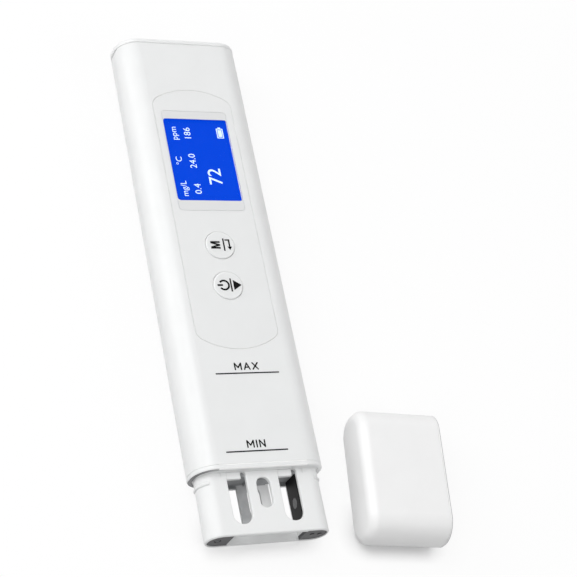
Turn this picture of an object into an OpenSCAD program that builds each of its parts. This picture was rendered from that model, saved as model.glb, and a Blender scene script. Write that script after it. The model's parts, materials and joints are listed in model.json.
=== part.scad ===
// Pen-type water quality tester, lying on its back beside its loose protective cap.
// X runs across the width, Y along the body towards the battery cap, Z up through the front face.
// The origin is the centre of the flat back of the body sleeve.

/* [Body sleeve] */
// Width of the body
body_w = 42; // [40:0.5:46]
// Thickness of the body from back to front
body_t = 15.6; // [15.6:0.1:17]
// Radius of the rounded long edges
body_r = 7; // [6.8:0.1:7.6]
// Length of the sleeve
sleeve_len = 150; // [148:1:160]
// Wall of the sleeve
wall = 1.4; // [1.2:0.1:1.5]
// Height of the rounded bead round the lower rim
rim_bead = 1.35; // [1:0.05:2]
// Rounding of the rim's outer edge
rim_round = 0.5; // [0.3:0.1:0.8]
// Radius of the fine grooves above the rim bead, under the battery cap and at the cap's lip
groove_r = 0.12; // [0.1:0.01:0.25]
// Length of the nail notch under the battery cap
notch_len = 7.6; // [6:0.2:9]
// Depth of the nail notch
notch_deep = 1; // [0.8:0.1:1.4]

/* [Front panel] */
// Width of the front panel
panel_w = 26.9; // [26:0.1:27.5]
// Length of the front panel between the tops of its two arcs
panel_len = 93.4; // [90:0.2:96]
// Middle of the front panel along the body
panel_y = 10; // [9:0.5:11]
// Thickness of the front panel
panel_t = 0.8; // [0.6:0.05:0.9]
// Radius of the shallow arcs at its ends
panel_arc = 22; // [20:0.5:30]
// Radius of its corners
panel_corner = 3.7; // [3:0.1:4.5]
// Gap of the groove line round the panel
panel_gap = 0.1; // [0.1:0.05:0.3]

/* [Display] */
// Middle of the display along the body
window_y = 30; // [29.5:0.5:31]
// Corner radius of the window
window_r = 1.3; // [1:0.1:2]
// Width of the display glass behind the window
glass_w = 22; // [21:0.1:22.4]
// Length of the display glass
glass_len = 32; // [30:0.5:33]
// How far the window reaches beside the glass
window_side = 0.1; // [0.1:0.05:0.3]
// How far the window reaches beyond each end of the glass
window_end = 2.5; // [2:0.1:3]
// Thickness of the display glass
glass_t = 0.9; // [0.7:0.1:1]
// Thickness of the backlight plate
light_t = 0.8; // [0.6:0.1:0.9]
// How far the display frame reaches beside the glass
display_side = 1.5; // [1.3:0.1:1.9]
// How far the display frame reaches beyond each end of the glass
display_end = 2; // [1.6:0.1:2.4]
// Width of the display's flat cable
flex_w = 12; // [10:0.5:14]

/* [Buttons] */
// Diameter of a button
button_d = 9.5; // [9:0.1:10]
// Gap of the ring groove round a button
button_gap = 0.15; // [0.15:0.05:0.3]
// How far a button stands above the panel
button_rise = 0.35; // [0.2:0.05:0.5]
// Place of the mode button along the body
mode_y = -1.05; // [-1.5:0.05:-0.5]
// Place of the power button along the body
power_y = -15.15; // [-16:0.05:-15]
// Extra radius of the flange that keeps a button in
button_flange = 1; // [0.8:0.1:1.2]
// Travel of a button
button_travel = 0.35; // [0.3:0.05:0.4]
// Side of a push switch
switch_w = 4.6; // [4.5:0.1:6]
// Height of a push switch
switch_h = 1.5; // [1.4:0.1:1.5]
// Diameter of a switch plunger
plunger_d = 2.4; // [2:0.1:3]

/* [Circuit board] */
// How far the circuit board's edges stay from the sleeve's bore
board_side = 3.1; // [2.8:0.1:3.6]
// Thickness of the circuit board
board_t = 1; // [0.8:0.1:1]
// Front face of the board above the back of the body
board_z = 10.7; // [10.5:0.1:10.8]
// Diameter of a board screw
screw_d = 2; // [1.8:0.1:2.4]
// Diameter of a board screw's head
screw_head_d = 3.6; // [3.4:0.1:4]

/* [Cells] */
// Diameter of a cell
cell_d = 10.5; // [10.3:0.1:10.5]
// Length of a cell with its raised pole
cell_len = 44.5; // [44:0.1:44.6]
// Distance between the axes of the two cells
cell_pitch = 11.8; // [11.4:0.1:12.2]
// Diameter of a cell's raised pole
pole_d = 3.8; // [3.5:0.1:4.2]
// Height of a cell's raised pole
pole_h = 0.9; // [0.8:0.1:1.2]
// Length of the compressed cell spring
spring_len = 3.3; // [3:0.1:3.6]
// Diameter of the spring wire
spring_wire = 0.5; // [0.4:0.05:0.6]
// Thickness of the contact plates
plate_t = 0.4; // [0.3:0.1:0.5]

/* [Battery cap] */
// Thickness of the battery cap's plate
cap_plate = 1.8; // [1.6:0.1:2.4]
// Rounding of its outer edge
cap_edge = 0.8; // [0.5:0.1:1]
// Length of its plug inside the sleeve
cap_plug = 3.2; // [3:0.1:3.4]
// Wall of the plug's ring
cap_ring = 0.9; // [0.8:0.1:1.2]
// Width of the gasket's groove
gasket_w = 1.1; // [1:0.1:1.3]
// Depth of the gasket's groove
gasket_deep = 0.45; // [0.4:0.05:0.5]

/* [Probe] */
// Step from the sleeve's side in to the probe housing's side
probe_step = 1.6; // [1.5:0.1:2]
// Thickness of the probe housing
probe_t = 9.75; // [9.5:0.05:10.2]
// Radius of the probe housing's long edges
probe_r = 4.6; // [4.2:0.1:4.7]
// Length of the probe housing below the sleeve's rim
probe_len = 19.4; // [19:0.1:22]
// Wall of the probe housing
probe_wall = 1.2; // [1:0.1:1.4]
// Width of a leg beside the water chamber
leg_w = 7.9; // [7.8:0.1:8.2]
// How far the water chamber's ceiling sits below the sleeve's rim
ceiling_drop = 1.2; // [1:0.1:1.4]
// Length of the part that plugs into the sleeve
plug_len = 9; // [8:0.5:10]
// Width of the bar between a long slot and the centre window
bar_w = 3; // [2.6:0.1:3.4]
// Strip between a long slot and the side of the water chamber
slot_side = 0.35; // [0.2:0.05:0.5]
// Rounding of the slots' outer edges
slot_round = 0.3; // [0.2:0.05:0.4]
// Lower end of the long slots above the probe's tip
slot_foot = 3.4; // [3:0.1:5]
// Width of the rounded notch beside the latch tab
notch_w = 1.6; // [1.4:0.1:2]
// Height of the latch tab below the rim
tab_h = 2.2; // [1.6:0.1:2.6]
// Width of the centre window
centre_w = 4.3; // [4:0.1:5]
// Lower end of the centre window above the probe's tip
centre_foot = 8; // [7:0.1:9]
// Strip between the centre window's upper end and the chamber's ceiling
centre_roof = 0.8; // [0.6:0.1:1.5]
// Distance of the snap ridge from the sleeve's rim
ridge_drop = 3; // [2.5:0.1:4]
// How far the snap ridge stands out
ridge_out = 0.4; // [0.3:0.05:0.5]
// Wire diameter of the seal ring
seal_wire = 1.6; // [1.4:0.1:1.8]
// Wall left outside a leg plug's flange
plug_rim = 0.6; // [0.5:0.05:0.8]
// Thickness of a leg plug's flange
plug_flange = 0.9; // [0.7:0.1:1.2]

/* [Optics] */
// Height of the light path above the probe's tip
light_h = 10.2; // [9.5:0.1:12]
// Diameter of a lens
lens_d = 3.2; // [2.8:0.1:3.6]
// Thickness of a lens
lens_t = 0.8; // [0.6:0.1:1]
// Lower edge of the cut-out for a black holder above the probe's tip
holder_foot = 4.8; // [4.6:0.1:6]
// How far a black holder's face stands into the chamber
holder_proud = 0.6; // [0.2:0.1:0.6]
// Diameter of the lamp and of the light sensor's can
lamp_d = 3.6; // [3.2:0.1:3.8]
// Diameter of the conductivity pins
pin_d = 1.4; // [1.2:0.1:1.6]

/* [Protective cap] */
// Length of the protective cap
lid_len = 27; // [26:0.5:32]
// Wall of the protective cap
lid_wall = 1.5; // [1.3:0.1:1.7]
// Rounding of its closed end
lid_round = 3.2; // [2:0.1:3.4]
// Height of the lip line at its mouth
lid_lip = 0.6; // [0.5:0.1:1]
// Play of the grip ribs on the probe housing
lid_play = 0.3; // [0.2:0.05:0.4]
// Place of the loose cap across the body
lid_x = 46; // [44:1:60]
// Place of the loose cap along the body
lid_y = -78.5; // [-85:0.5:-60]
// Turn of the loose cap about the upright
lid_turn = -96; // [-100:1:-85]

/* [Fits] */
// Running gap round a sliding pin
run_gap = 0.05; // [0.03:0.01:0.08]
// Gap between a plug and the sleeve round it
plug_gap = 0.15; // [0.1:0.05:0.2]
// Gap between fixed inner parts
seat_gap = 0.05; // [0.03:0.01:0.1]
// Gap between the inner frame and the sleeve's back
frame_gap = 0.2; // [0.1:0.05:0.3]
// Free height under a button's stem and over its flange
touch_gap = 0.05; // [0.03:0.01:0.08]

/* [Hidden] */
$fn = 48;

mid_z = body_t / 2;
rim_y = -sleeve_len / 2;
top_y = sleeve_len / 2;
tip_y = rim_y - probe_len;
bore_w = body_w - 2 * wall;
bore_t = body_t - 2 * wall;
bore_r = body_r - wall;
probe_w = body_w - 2 * probe_step;
chamber_w = probe_w - 2 * leg_w;
slot_w = chamber_w / 2 - slot_side - bar_w - centre_w / 2;
slot_x = chamber_w / 2 - slot_side - slot_w / 2;
tab_w = slot_w - notch_w;
window_w = glass_w + 2 * window_side;
window_len = glass_len + 2 * window_end;
front_in = body_t - wall;
panel_back = body_t - panel_t;
eps = 0.5;

// Display stack, from the window down to the frame
frame_w = glass_w + 2 * display_side;
frame_len = glass_len + 2 * display_end;
frame_lip = 1.5;
film_t = 0.15;
glass_top = panel_back - seat_gap;
glass_back = glass_top - glass_t;
light_back = glass_back - light_t;
frame_web = 0.4;
frame_back = light_back - frame_web;
frame_y0 = window_y - frame_len / 2;
glass_y0 = window_y - glass_len / 2;
socket_deep = 3;
socket_h = 1.4;
film_rise = 0.6;
film_z = board_z + film_rise;
film_reach = 4.5;
film_end_y = frame_y0 - film_reach;

// Buttons and switches
hole_d = button_d + 2 * button_gap;
flange_top = front_in - touch_gap;
flange_t = 0.9;
stem_r = 1.5;
button_edge = 0.35;
switch_top = board_z + switch_h;
plunger_rise = button_travel;
stem_foot = switch_top + plunger_rise + touch_gap;
plunger_well = 1.1;

// Cells, their tray and contacts
cell_z = wall + frame_gap + cell_d / 2;
cell_x = cell_pitch / 2;
tray_gap = 0.15;
tray_r = cell_d / 2 + tray_gap;
cell_top = top_y - cap_plug - seat_gap - plate_t;
cell_foot = cell_top - cell_len;
contact_y = cell_foot - spring_len;
end_wall_t = 1.5;
end_wall_y = contact_y - plate_t - end_wall_t;
board_back = board_z - board_t;
board_end_gap = 0.3;
board_y1 = end_wall_y - board_end_gap;
bridge_rise = 2.1;
bridge_y = cell_top + bridge_rise;
cell_plate_w = 7;
cell_plate_foot = 4;
tail_w = 3;
tail_len = 3;
dome_d = 3;
dome_foot_d = 4.4;
bridge_end = 4;
bridge_w = 2 * (cell_x + bridge_end);
spring_foot_r = 3.2;
spring_top_r = 2.2;
spring_sink = 0.3 * spring_wire;
spring_turns = 3;
bridge_turns = 2;

// Circuit board and inner frame
board_w = bore_w - 2 * board_side;
screw_side = 6.3;
screw_x = board_w / 2 - screw_side;
screw_in = 5;
screw_len = 5;
screw_head_h = 1.2;
recess_w = 0.45;
post_d = 5;
frame_floor = wall + frame_gap;
floor_t = 1.2;
rail_side = 3.1;
rail_x = board_w / 2 - rail_side;
rail_t = 1.2;
frame_end_t = 1.4;
frame_screw_x = 7;
frame_screw_z = mid_z - 2;
screw_grip = 6;
cheek_w = 1.2;

// Probe
plug_w = bore_w - 2 * plug_gap;
plug_t = bore_t - 2 * plug_gap;
plug_r = bore_r - plug_gap;
plug_y = rim_y + plug_len;
chamber_t = probe_t - 2 * probe_wall;
ceiling_y = rim_y - ceiling_drop;
centre_top = probe_len - ceiling_drop - centre_roof;
leg_in = chamber_w / 2 + probe_wall;
leg_out = probe_w / 2 - probe_wall;
neck_in = 2.25;
neck_out = plug_w / 2 - neck_in;
core_gap = seat_gap;
tab_t = 2;
flange_len = 1.5;
core_side = 1.45;
core_w = plug_w - 2 * core_side;
core_face = 0.45;
core_t = plug_t - 2 * core_face;
core_r = 3;
core_top = plug_y + flange_len;
board_foot_gap = 0.6;
board_y0 = core_top + frame_end_t + board_foot_gap;
lead_socket_in = 1.4;
lead_end_y = board_y0 + lead_socket_in;
lead_socket_l = 4;
lead_socket_h = 2;
light_y = tip_y + light_h;
holder_y0 = tip_y + holder_foot;
lamp_len = 3;
holder_t = 3.4;
holder_face = chamber_w / 2 - holder_proud;
holder_back = leg_in + holder_t;
holder_w = 6.6;
holder_lap = 0.8;
beam_d = 2;
sensor_board_t = 0.8;
sensor_board_w = 3;
tip_round = 0.5;
leg_plug_deep = 2.2;
leg_recess = 0.3;
pin_proud = 0.2;
pin_tip = tip_y + leg_recess - pin_proud;
pin_reach = 3.5;
pin_end = tip_y + pin_reach;
pin_in = 1.7;
pin_pitch = 2.4;
pin_x = [leg_in + pin_in, leg_in + pin_in + pin_pitch];
sensor_tip_d = 2;
sensor_tip_x = leg_in + pin_in + pin_pitch / 2;
ridge_r = 0.5;
ridge_side = 2.6;
tick_side = 1.5;
tick_x = chamber_w / 2 + tick_side;
tick_w = 0.25;
tick_len = 1.5;

seal_deep = seal_wire - plug_gap + run_gap + seat_gap;
seal_in = 3.6;
seal_y = rim_y + seal_in;
seal_room = 0.4;

// Protective cap, worn position
lid_in_w = body_w - 2 * lid_wall;
lid_in_t = body_t - 2 * lid_wall;
lid_in_r = body_r - lid_wall;
lid_end_t = lid_wall + 1;
rib_w = 1.2;
rib_lead = 2;

// Rounded rectangle about the origin, with true arcs
module round_rect(w, h, r) {
    square([w, h - 2 * r], center = true);
    square([w - 2 * r, h], center = true);
    for (sx = [-1, 1], sy = [-1, 1])
        translate([sx * (w / 2 - r), sy * (h / 2 - r)])
            circle(r);
}

// Obround slot outline from y0 to y1
module slot_shape(w, y0, y1) {
    translate([-w / 2, y0 + w / 2])
        square([w, y1 - y0 - w]);
    translate([0, y0 + w / 2])
        circle(w / 2);
    translate([0, y1 - w / 2])
        circle(w / 2);
}

// Keeps what lies inside the sleeve's bore, with a gap all round
module in_bore(gap) {
    intersection() {
        mid_prism(rim_y, top_y)
            round_rect(bore_w - 2 * gap, bore_t - 2 * gap, bore_r - gap);
        children();
    }
}

// Extrudes a section drawn in X and Z from y0 to y1
module prism_y(y0, y1) {
    translate([0, y1, 0])
        rotate([90, 0, 0])
            linear_extrude(y1 - y0)
                children();
}

// The same, with the section's middle at half the body's thickness
module mid_prism(y0, y1) {
    translate([0, 0, mid_z])
        prism_y(y0, y1)
            children();
}

// Round bar bent along a rounded rectangle of the given width and height in the XZ plane
module loop_bar(w, h, r, bar_r) {
    rotate([90, 0, 0]) {
        for (sy = [-1, 1])
            translate([0, sy * h / 2, 0])
                rotate([0, 90, 0])
                    cylinder(r = bar_r, h = w - 2 * r, center = true);
        for (sx = [-1, 1])
            translate([sx * w / 2, 0, 0])
                rotate([90, 0, 0])
                    cylinder(r = bar_r, h = h - 2 * r, center = true);
        for (corner = [[1, 1, 0], [-1, 1, 90], [-1, -1, 180], [1, -1, 270]])
            translate([corner[0] * (w / 2 - r), corner[1] * (h / 2 - r), 0])
                rotate([0, 0, corner[2]])
                    rotate_extrude(angle = 90)
                        translate([r, 0])
                            circle(bar_r);
    }
}

// Rounded-rectangle bar from y0 to y1 whose edge at the y0 end is rounded by f
module soft_bar(w, h, r, y0, y1, f) {
    mid_prism(y0 + f, y1)
        round_rect(w, h, r);
    mid_prism(y0, y1)
        round_rect(w - 2 * f, h - 2 * f, r - f);
    translate([0, y0 + f, mid_z])
        loop_bar(w - 2 * f, h - 2 * f, r - f, f);
}

// Outline of the front panel, grown by g
module panel_shape(g) {
    half_w = panel_w / 2;
    arc_y = panel_len / 2 - panel_arc;
    corner_x = half_w - panel_corner;
    corner_y = arc_y + sqrt(pow(panel_arc - panel_corner, 2) - pow(corner_x, 2));
    reach = 1.3;
    square([panel_w + 2 * g, 2 * corner_y], center = true);
    for (end = [0, 1])
        mirror([0, end]) {
            for (sx = [-1, 1])
                translate([sx * corner_x, corner_y])
                    circle(panel_corner + g);
            intersection() {
                translate([0, arc_y])
                    circle(panel_arc + g);
                polygon([
                    [0, arc_y],
                    [reach * corner_x, arc_y + reach * (corner_y - arc_y)],
                    [reach * corner_x, arc_y + 2 * panel_arc],
                    [-reach * corner_x, arc_y + 2 * panel_arc],
                    [-reach * corner_x, arc_y + reach * (corner_y - arc_y)]
                ]);
            }
        }
}

module body_sleeve() {
    color("whitesmoke")
        difference() {
            soft_bar(body_w, body_t, body_r, rim_y, top_y, rim_round);
            mid_prism(rim_y - eps, top_y + eps)
                round_rect(bore_w, bore_t, bore_r);
            for (y = [rim_y + rim_bead, top_y])
                translate([0, y, mid_z])
                    loop_bar(body_w, body_t, body_r, groove_r);
            translate([0, panel_y, panel_back])
                linear_extrude(panel_t + eps)
                    panel_shape(panel_gap);
            display_opening();
            for (y = [mode_y, power_y])
                translate([0, y, front_in - eps])
                    cylinder(d = hole_d, h = wall + 2 * eps);
            nail_notch();
        }
}

// Opening in the sleeve's front wall for the display glass
module display_opening() {
    translate([0, window_y, front_in - eps])
        linear_extrude(wall + 2 * eps)
            square([glass_w + 2 * seat_gap, glass_len + 2 * seat_gap], center = true);
}

// Crescent cut in the sleeve's end, on the left narrow side
module nail_notch() {
    notch_r = (pow(notch_len / 2, 2) + pow(notch_deep, 2)) / (2 * notch_deep);
    bite = 0.6 * wall;
    translate([-body_w / 2 - eps, top_y - notch_deep + notch_r, mid_z])
        rotate([0, 90, 0])
            cylinder(r = notch_r, h = eps + bite);
}

module front_panel() {
    color("white")
        difference() {
            translate([0, panel_y, panel_back])
                linear_extrude(panel_t)
                    panel_shape(0);
            translate([0, window_y, panel_back - eps])
                linear_extrude(panel_t + 2 * eps)
                    round_rect(window_w, window_len, window_r);
            for (y = [mode_y, power_y])
                translate([0, y, panel_back - eps])
                    cylinder(d = hole_d, h = panel_t + 2 * eps);
        }
}

module display_window() {
    color([0.85, 0.86, 0.87, 0.6])
        translate([0, window_y, panel_back])
            linear_extrude(panel_t)
                round_rect(window_w - 2 * seat_gap, window_len - 2 * seat_gap, window_r - seat_gap);
}

module display_glass() {
    color("royalblue")
        translate([-glass_w / 2, glass_y0, glass_back])
            cube([glass_w, glass_len, glass_t]);
}

module backlight_plate() {
    color("ivory")
        translate([-glass_w / 2, glass_y0, light_back])
            cube([glass_w, glass_len, light_t]);
}

module display_frame() {
    foot_w = 1.6;
    foot_in = 2.5;
    color("gainsboro") {
        difference() {
            in_bore(seat_gap)
                translate([-frame_w / 2, frame_y0, frame_back])
                    cube([frame_w, frame_len, front_in - frame_back]);
            translate([-glass_w / 2 - seat_gap, glass_y0 - seat_gap, light_back])
                cube([glass_w + 2 * seat_gap, glass_len + 2 * seat_gap, body_t]);
            translate([-flex_w / 2 - seat_gap, frame_y0 - eps, light_back])
                cube([flex_w + 2 * seat_gap, frame_len / 2, body_t]);
            translate([-glass_w / 2 + frame_lip, glass_y0 + frame_lip, frame_back - eps])
                cube([glass_w - 2 * frame_lip, glass_len - 2 * frame_lip, body_t]);
        }
        for (sx = [-1, 1])
            translate([sx * (frame_w / 2 - foot_in) - foot_w / 2, frame_y0, board_z])
                cube([foot_w, foot_w, frame_back - board_z]);
    }
}

// Flat cable from the glass, over the frame's end and down to the connector
module display_flex() {
    flat_len = 1.6;
    bend_y = film_end_y + flat_len;
    level_z = light_back + seat_gap;
    color("darkorange")
        translate([-flex_w / 2, 0, 0])
            rotate([90, 0, 90])
                linear_extrude(flex_w)
                    polygon([
                        [glass_y0 - seat_gap, level_z],
                        [glass_y0 - seat_gap, level_z + film_t],
                        [frame_y0 - 1, level_z + film_t],
                        [bend_y, film_z + film_t],
                        [film_end_y, film_z + film_t],
                        [film_end_y, film_z],
                        [bend_y, film_z],
                        [frame_y0 - 1, level_z]
                    ]);
}

// Button with a soft top edge, a flange under the sleeve's wall and a short stem
module button(y) {
    top_z = body_t + button_rise;
    side_r = button_d / 2;
    color("white")
        translate([0, y, 0])
            rotate_extrude()
                union() {
                    translate([0, stem_foot])
                        square([stem_r, flange_top - stem_foot]);
                    translate([0, flange_top - flange_t])
                        square([side_r + button_flange, flange_t]);
                    translate([0, flange_top - eps])
                        square([side_r, top_z - button_edge - flange_top + eps]);
                    translate([0, top_z - button_edge - eps])
                        square([side_r - button_edge, button_edge + eps]);
                    intersection() {
                        translate([side_r - button_edge, top_z - button_edge])
                            circle(button_edge);
                        square([button_d, 2 * body_t]);
                    }
                }
}

module mode_button() button(mode_y);

module power_button() button(power_y);

module switch_body(y) {
    color("dimgray")
        difference() {
            translate([-switch_w / 2, y - switch_w / 2, board_z])
                cube([switch_w, switch_w, switch_h]);
            translate([0, y, switch_top - plunger_well])
                cylinder(d = plunger_d + 2 * run_gap, h = plunger_well + eps);
        }
}

module mode_switch() switch_body(mode_y);

module power_switch() switch_body(power_y);

module plunger(y) {
    under = plunger_well - button_travel - touch_gap;
    color("orangered")
        translate([0, y, switch_top - under])
            cylinder(d = plunger_d, h = under + plunger_rise);
}

module mode_plunger() plunger(mode_y);

module power_plunger() plunger(power_y);

// Screw places on the board
function board_screw_places() =
    [for (sx = [-1, 1], y = [board_y0 + screw_in, board_y1 - screw_in]) [sx * screw_x, y]];

module main_board() {
    color("darkgreen")
        difference() {
            translate([-board_w / 2, board_y0, board_back])
                cube([board_w, board_y1 - board_y0, board_t]);
            for (p = board_screw_places())
                translate([p[0], p[1], board_back - eps])
                    cylinder(d = screw_d + 2 * run_gap, h = board_t + 2 * eps);
        }
}

module processor() {
    chip_w = 7;
    chip_h = 1;
    chip_in = 22;
    color("black")
        translate([-chip_w / 2, board_y0 + chip_in, board_z])
            cube([chip_w, chip_w, chip_h]);
}

// Small capacitors and resistors in two loose rows, and two coils
module board_components() {
    chip_w = 1.6;
    chip_l = 0.9;
    chip_h = 0.8;
    row_side = 7.5;
    row_in = 18;
    row_pitch = 3.2;
    row_count = 6;
    coil_w = 3;
    coil_h = 1.4;
    coil_side = 3.5;
    coil_in = 27;
    color("tan")
        for (sx = [-1, 1]) {
            for (i = [0:row_count - 1])
                translate([sx * (board_w / 2 - row_side), board_y0 + row_in + row_pitch * i, board_z])
                    linear_extrude(chip_h)
                        square([chip_w, chip_l], center = true);
            translate([sx * (board_w / 2 - coil_side) - coil_w / 2, board_y0 + coil_in, board_z])
                cube([coil_w, coil_w, coil_h]);
        }
}

module buzzer() {
    buzzer_d = 9;
    buzzer_h = 2.6;
    mouth_d = 1.5;
    mouth_deep = 1;
    buzzer_x = -4;
    buzzer_in = 13;
    color("black")
        translate([buzzer_x, board_y0 + buzzer_in, board_z])
            difference() {
                cylinder(d = buzzer_d, h = buzzer_h);
                translate([0, 0, buzzer_h - mouth_deep])
                    cylinder(d = mouth_d, h = mouth_deep + eps);
            }
}

module flex_connector() {
    cheek = 1;
    color("ivory")
        difference() {
            translate([-flex_w / 2 - cheek, film_end_y - socket_deep / 2, board_z])
                cube([flex_w + 2 * cheek, socket_deep, socket_h]);
            translate([-flex_w / 2 - seat_gap, film_end_y - seat_gap, film_z - seat_gap])
                cube([flex_w + 2 * seat_gap, socket_deep, film_t + 2 * seat_gap]);
        }
}

module sensor_connector() {
    socket_w = 10;
    color("ivory")
        translate([-socket_w / 2, lead_end_y, board_z])
            cube([socket_w, lead_socket_l, lead_socket_h]);
}

// Four leads from the connector to the probe core
module sensor_leads() {
    lead_d = 0.9;
    lead_pitch = 2;
    color("crimson")
        for (i = [-1.5:1.5])
            translate([i * lead_pitch, core_top, board_z + lead_socket_h / 2])
                rotate([-90, 0, 0])
                    cylinder(d = lead_d, h = lead_end_y - core_top);
}

module board_screws() {
    color("silver")
        for (p = board_screw_places())
            translate([p[0], p[1], board_z])
                screw(screw_len);
}

// Screw that points down Z, with its head's underside at the origin and a cross recess
module screw(shank) {
    translate([0, 0, -shank])
        cylinder(d = screw_d, h = shank);
    difference() {
        cylinder(d = screw_head_d, h = screw_head_h);
        for (turn = [0, 90])
            translate([0, 0, screw_head_h])
                rotate([0, 0, turn])
                    cube([screw_d, recess_w, 1], center = true);
    }
}

// Tray that carries the board, the cells and the display frame, its edges shaped by the sleeve's bore
module inner_frame() {
    floor_top = frame_floor + floor_t;
    color("darkgray")
        difference() {
            in_bore(frame_gap)
                frame_body();
            for (p = board_screw_places())
                translate([p[0], p[1], floor_top])
                    cylinder(d = screw_d + 2 * run_gap, h = body_t);
            for (sx = [-1, 1])
                translate([sx * frame_screw_x, core_top - eps, frame_screw_z])
                    rotate([-90, 0, 0])
                        cylinder(d = screw_d + 2 * run_gap, h = frame_end_t + 2 * eps);
        }
}

module frame_body() {
    run = end_wall_y + end_wall_t - core_top;
    translate([-rail_x - rail_t, core_top, frame_floor])
        cube([2 * (rail_x + rail_t), run, floor_t]);
    for (sx = [-1, 1])
        translate([sx * (rail_x + rail_t / 2) - rail_t / 2, core_top, frame_floor])
            cube([rail_t, run, board_back - frame_floor]);
    translate([-rail_x, core_top, frame_floor])
        cube([2 * rail_x, frame_end_t, board_back - frame_floor]);
    translate([-rail_x, end_wall_y, frame_floor])
        cube([2 * rail_x, end_wall_t, board_z - seat_gap - frame_floor]);
    for (p = board_screw_places())
        translate([p[0], p[1], frame_floor])
            cylinder(d = post_d, h = board_back - frame_floor);
    cell_rails();
}

// Three long rails that hold the cells between them and carry the display frame
module cell_rails() {
    cheek_off = 3.7;
    cheek_in = cell_x + cheek_off;
    cheek_out = max(frame_w / 2, cell_x + tray_r + cheek_w);
    keel_rise = 2.4;
    keel_top = cell_z + keel_rise;
    keel_w = 3.2;
    prism_y(end_wall_y, cell_top - 1)
        difference() {
            union() {
                for (sx = [-1, 1])
                    translate([sx * (cheek_in + cheek_out) / 2, (frame_floor + frame_back) / 2])
                        square([cheek_out - cheek_in, frame_back - frame_floor], center = true);
                translate([0, (frame_floor + keel_top) / 2])
                    square([keel_w, keel_top - frame_floor], center = true);
            }
            for (sx = [-1, 1])
                translate([sx * cell_x, cell_z])
                    circle(tray_r);
        }
}

// Two self-tapping screws that hold the probe core to the frame's end
module frame_screws() {
    color("silver")
        for (sx = [-1, 1])
            translate([sx * frame_screw_x, core_top + frame_end_t, frame_screw_z])
                rotate([-90, 0, 0])
                    screw(screw_grip + frame_end_t);
}

// Dry cell with its raised pole towards +Y, or towards -Y when turned
module cell(x, turned) {
    can_len = cell_len - pole_h;
    color("seagreen")
        translate([x, turned ? cell_top : cell_foot, cell_z])
            rotate([turned ? 90 : -90, 0, 0]) {
                cylinder(d = cell_d, h = can_len);
                cylinder(d = pole_d, h = cell_len);
            }
}

module left_cell() cell(-cell_x, false);

module right_cell() cell(cell_x, true);

// Points of a conical coil that runs up Z, its section a small polygon
function coil_ring(turn, pitch_h, r, wire_r, sides) = [
    for (k = [0:sides - 1])
        let (a = 360 * k / sides, out = r + wire_r * cos(a))
        [out * cos(turn), out * sin(turn), pitch_h + wire_r * sin(a)]
];

module coil_spring(r_foot, r_top, height, turns) {
    sides = 8;
    turn_steps = 16;
    steps = turn_steps * turns;
    wire_r = spring_wire / 2;
    rise = height - spring_wire;
    points = [
        for (i = [0:steps])
            each coil_ring(360 * turns * i / steps, wire_r + rise * i / steps,
                           r_foot + (r_top - r_foot) * i / steps, wire_r, sides)
    ];
    side_faces = [
        for (i = [0:steps - 1], k = [0:sides - 1])
            let (a = i * sides + k, b = i * sides + (k + 1) % sides)
            [a, b, b + sides, a + sides]
    ];
    first_end = [for (k = [0:sides - 1]) sides - 1 - k];
    last_end = [for (k = [0:sides - 1]) steps * sides + k];
    polyhedron(points, concat(side_faces, [first_end, last_end]));
}

// Contact plate on the tray's end wall, with a tail that lies on the board
module contact_plate(x) {
    translate([x - cell_plate_w / 2, contact_y - plate_t, cell_z - cell_plate_foot])
        cube([cell_plate_w, plate_t, board_z + plate_t - cell_z + cell_plate_foot]);
    translate([x - tail_w / 2, end_wall_y - tail_len, board_z])
        cube([tail_w, contact_y - end_wall_y + tail_len, plate_t]);
}

module spring_contact() {
    color("silver") {
        contact_plate(-cell_x);
        translate([-cell_x, contact_y - spring_sink, cell_z])
            rotate([-90, 0, 0])
                coil_spring(spring_foot_r, spring_top_r, spring_len - seat_gap + spring_sink, spring_turns);
    }
}

// Flat contact whose pressed dome meets the right cell's raised pole
module flat_contact() {
    dome_h = spring_len - seat_gap;
    color("silver") {
        contact_plate(cell_x);
        translate([cell_x, contact_y, cell_z])
            rotate([-90, 0, 0]) {
                cylinder(d = dome_foot_d, h = dome_h - plate_t);
                cylinder(d = dome_d, h = dome_h);
            }
    }
}

// Bridge inside the battery cap: a button for one cell and a spring for the other
module bridge_contact() {
    reach = bridge_y - cell_top - seat_gap;
    color("silver") {
        translate([-bridge_w / 2, bridge_y, cell_z - cell_plate_w / 2])
            cube([bridge_w, plate_t, cell_plate_w]);
        translate([-cell_x, bridge_y, cell_z])
            rotate([90, 0, 0])
                cylinder(d = dome_d, h = reach);
        translate([cell_x, bridge_y + spring_sink, cell_z])
            rotate([90, 0, 0])
                coil_spring(spring_foot_r, spring_top_r, reach + spring_sink, bridge_turns);
    }
}

module battery_cap() {
    post_w = 3;
    post_len = top_y - bridge_y - plate_t;
    post_h = 6;
    post_x = 1.4 * cell_x;
    groove_y = top_y - cap_plug + cap_ring;
    color("white") {
        difference() {
            union() {
                translate([0, 2 * top_y + cap_plate, 0])
                    mirror([0, 1, 0])
                        soft_bar(body_w, body_t, body_r, top_y, top_y + cap_plate, cap_edge);
                mid_prism(top_y - cap_plug, top_y)
                    round_rect(plug_w, plug_t, plug_r);
            }
            mid_prism(top_y - cap_plug - eps, top_y)
                round_rect(plug_w - 2 * cap_ring, plug_t - 2 * cap_ring, plug_r - cap_ring);
            mid_prism(groove_y, groove_y + gasket_w)
                difference() {
                    round_rect(body_w, body_t, body_r);
                    round_rect(plug_w - 2 * gasket_deep, plug_t - 2 * gasket_deep, plug_r - gasket_deep);
                }
            translate([0, top_y, mid_z])
                loop_bar(body_w, body_t, body_r, groove_r);
        }
        for (sx = [-1, 0, 1])
            translate([sx * post_x - post_w / 2, top_y - post_len, cell_z - post_h / 2])
                cube([post_w, post_len, post_h]);
    }
}

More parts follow.
